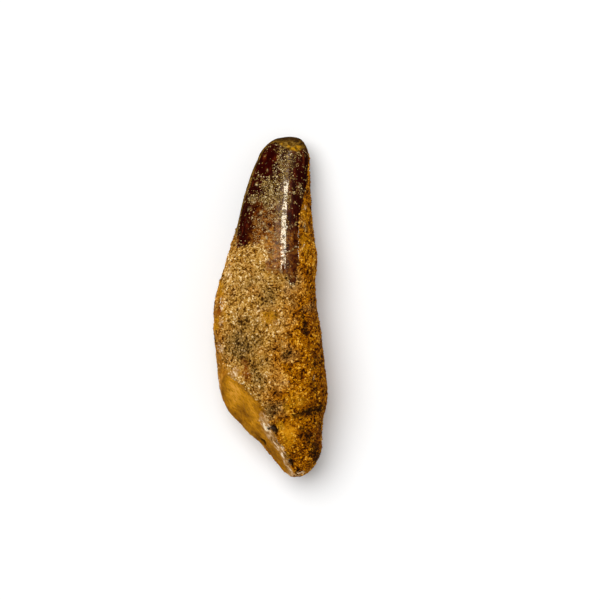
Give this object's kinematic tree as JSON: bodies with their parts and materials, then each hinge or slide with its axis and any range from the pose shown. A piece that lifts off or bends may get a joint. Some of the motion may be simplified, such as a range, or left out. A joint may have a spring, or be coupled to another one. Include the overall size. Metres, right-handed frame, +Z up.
{
  "type": "fossil dinosaur tooth",
  "caption": "Conical fossil tooth with a worn round tip, dark glossy enamel, a sandy matrix crust over the root half and a broken lower face, lying on its back.",
  "frame": {"origin": "on the surface that the tooth lies on, under the middle of its bounding box", "axes": "+Y towards the tip of the tooth, +X towards its right-hand side seen from above, +Z up out of the surface that it lies on"},
  "size_m": [0.0236, 0.0698, 0.0181],
  "materials": {
    "fossil": "dark maroon-brown glossy enamel on the crown, matt ochre sandy crust over the rest, smooth golden broken face"
  },
  "bodies": {
    "root": {"tooth": "fossil"}
  },
  "joints": []
}
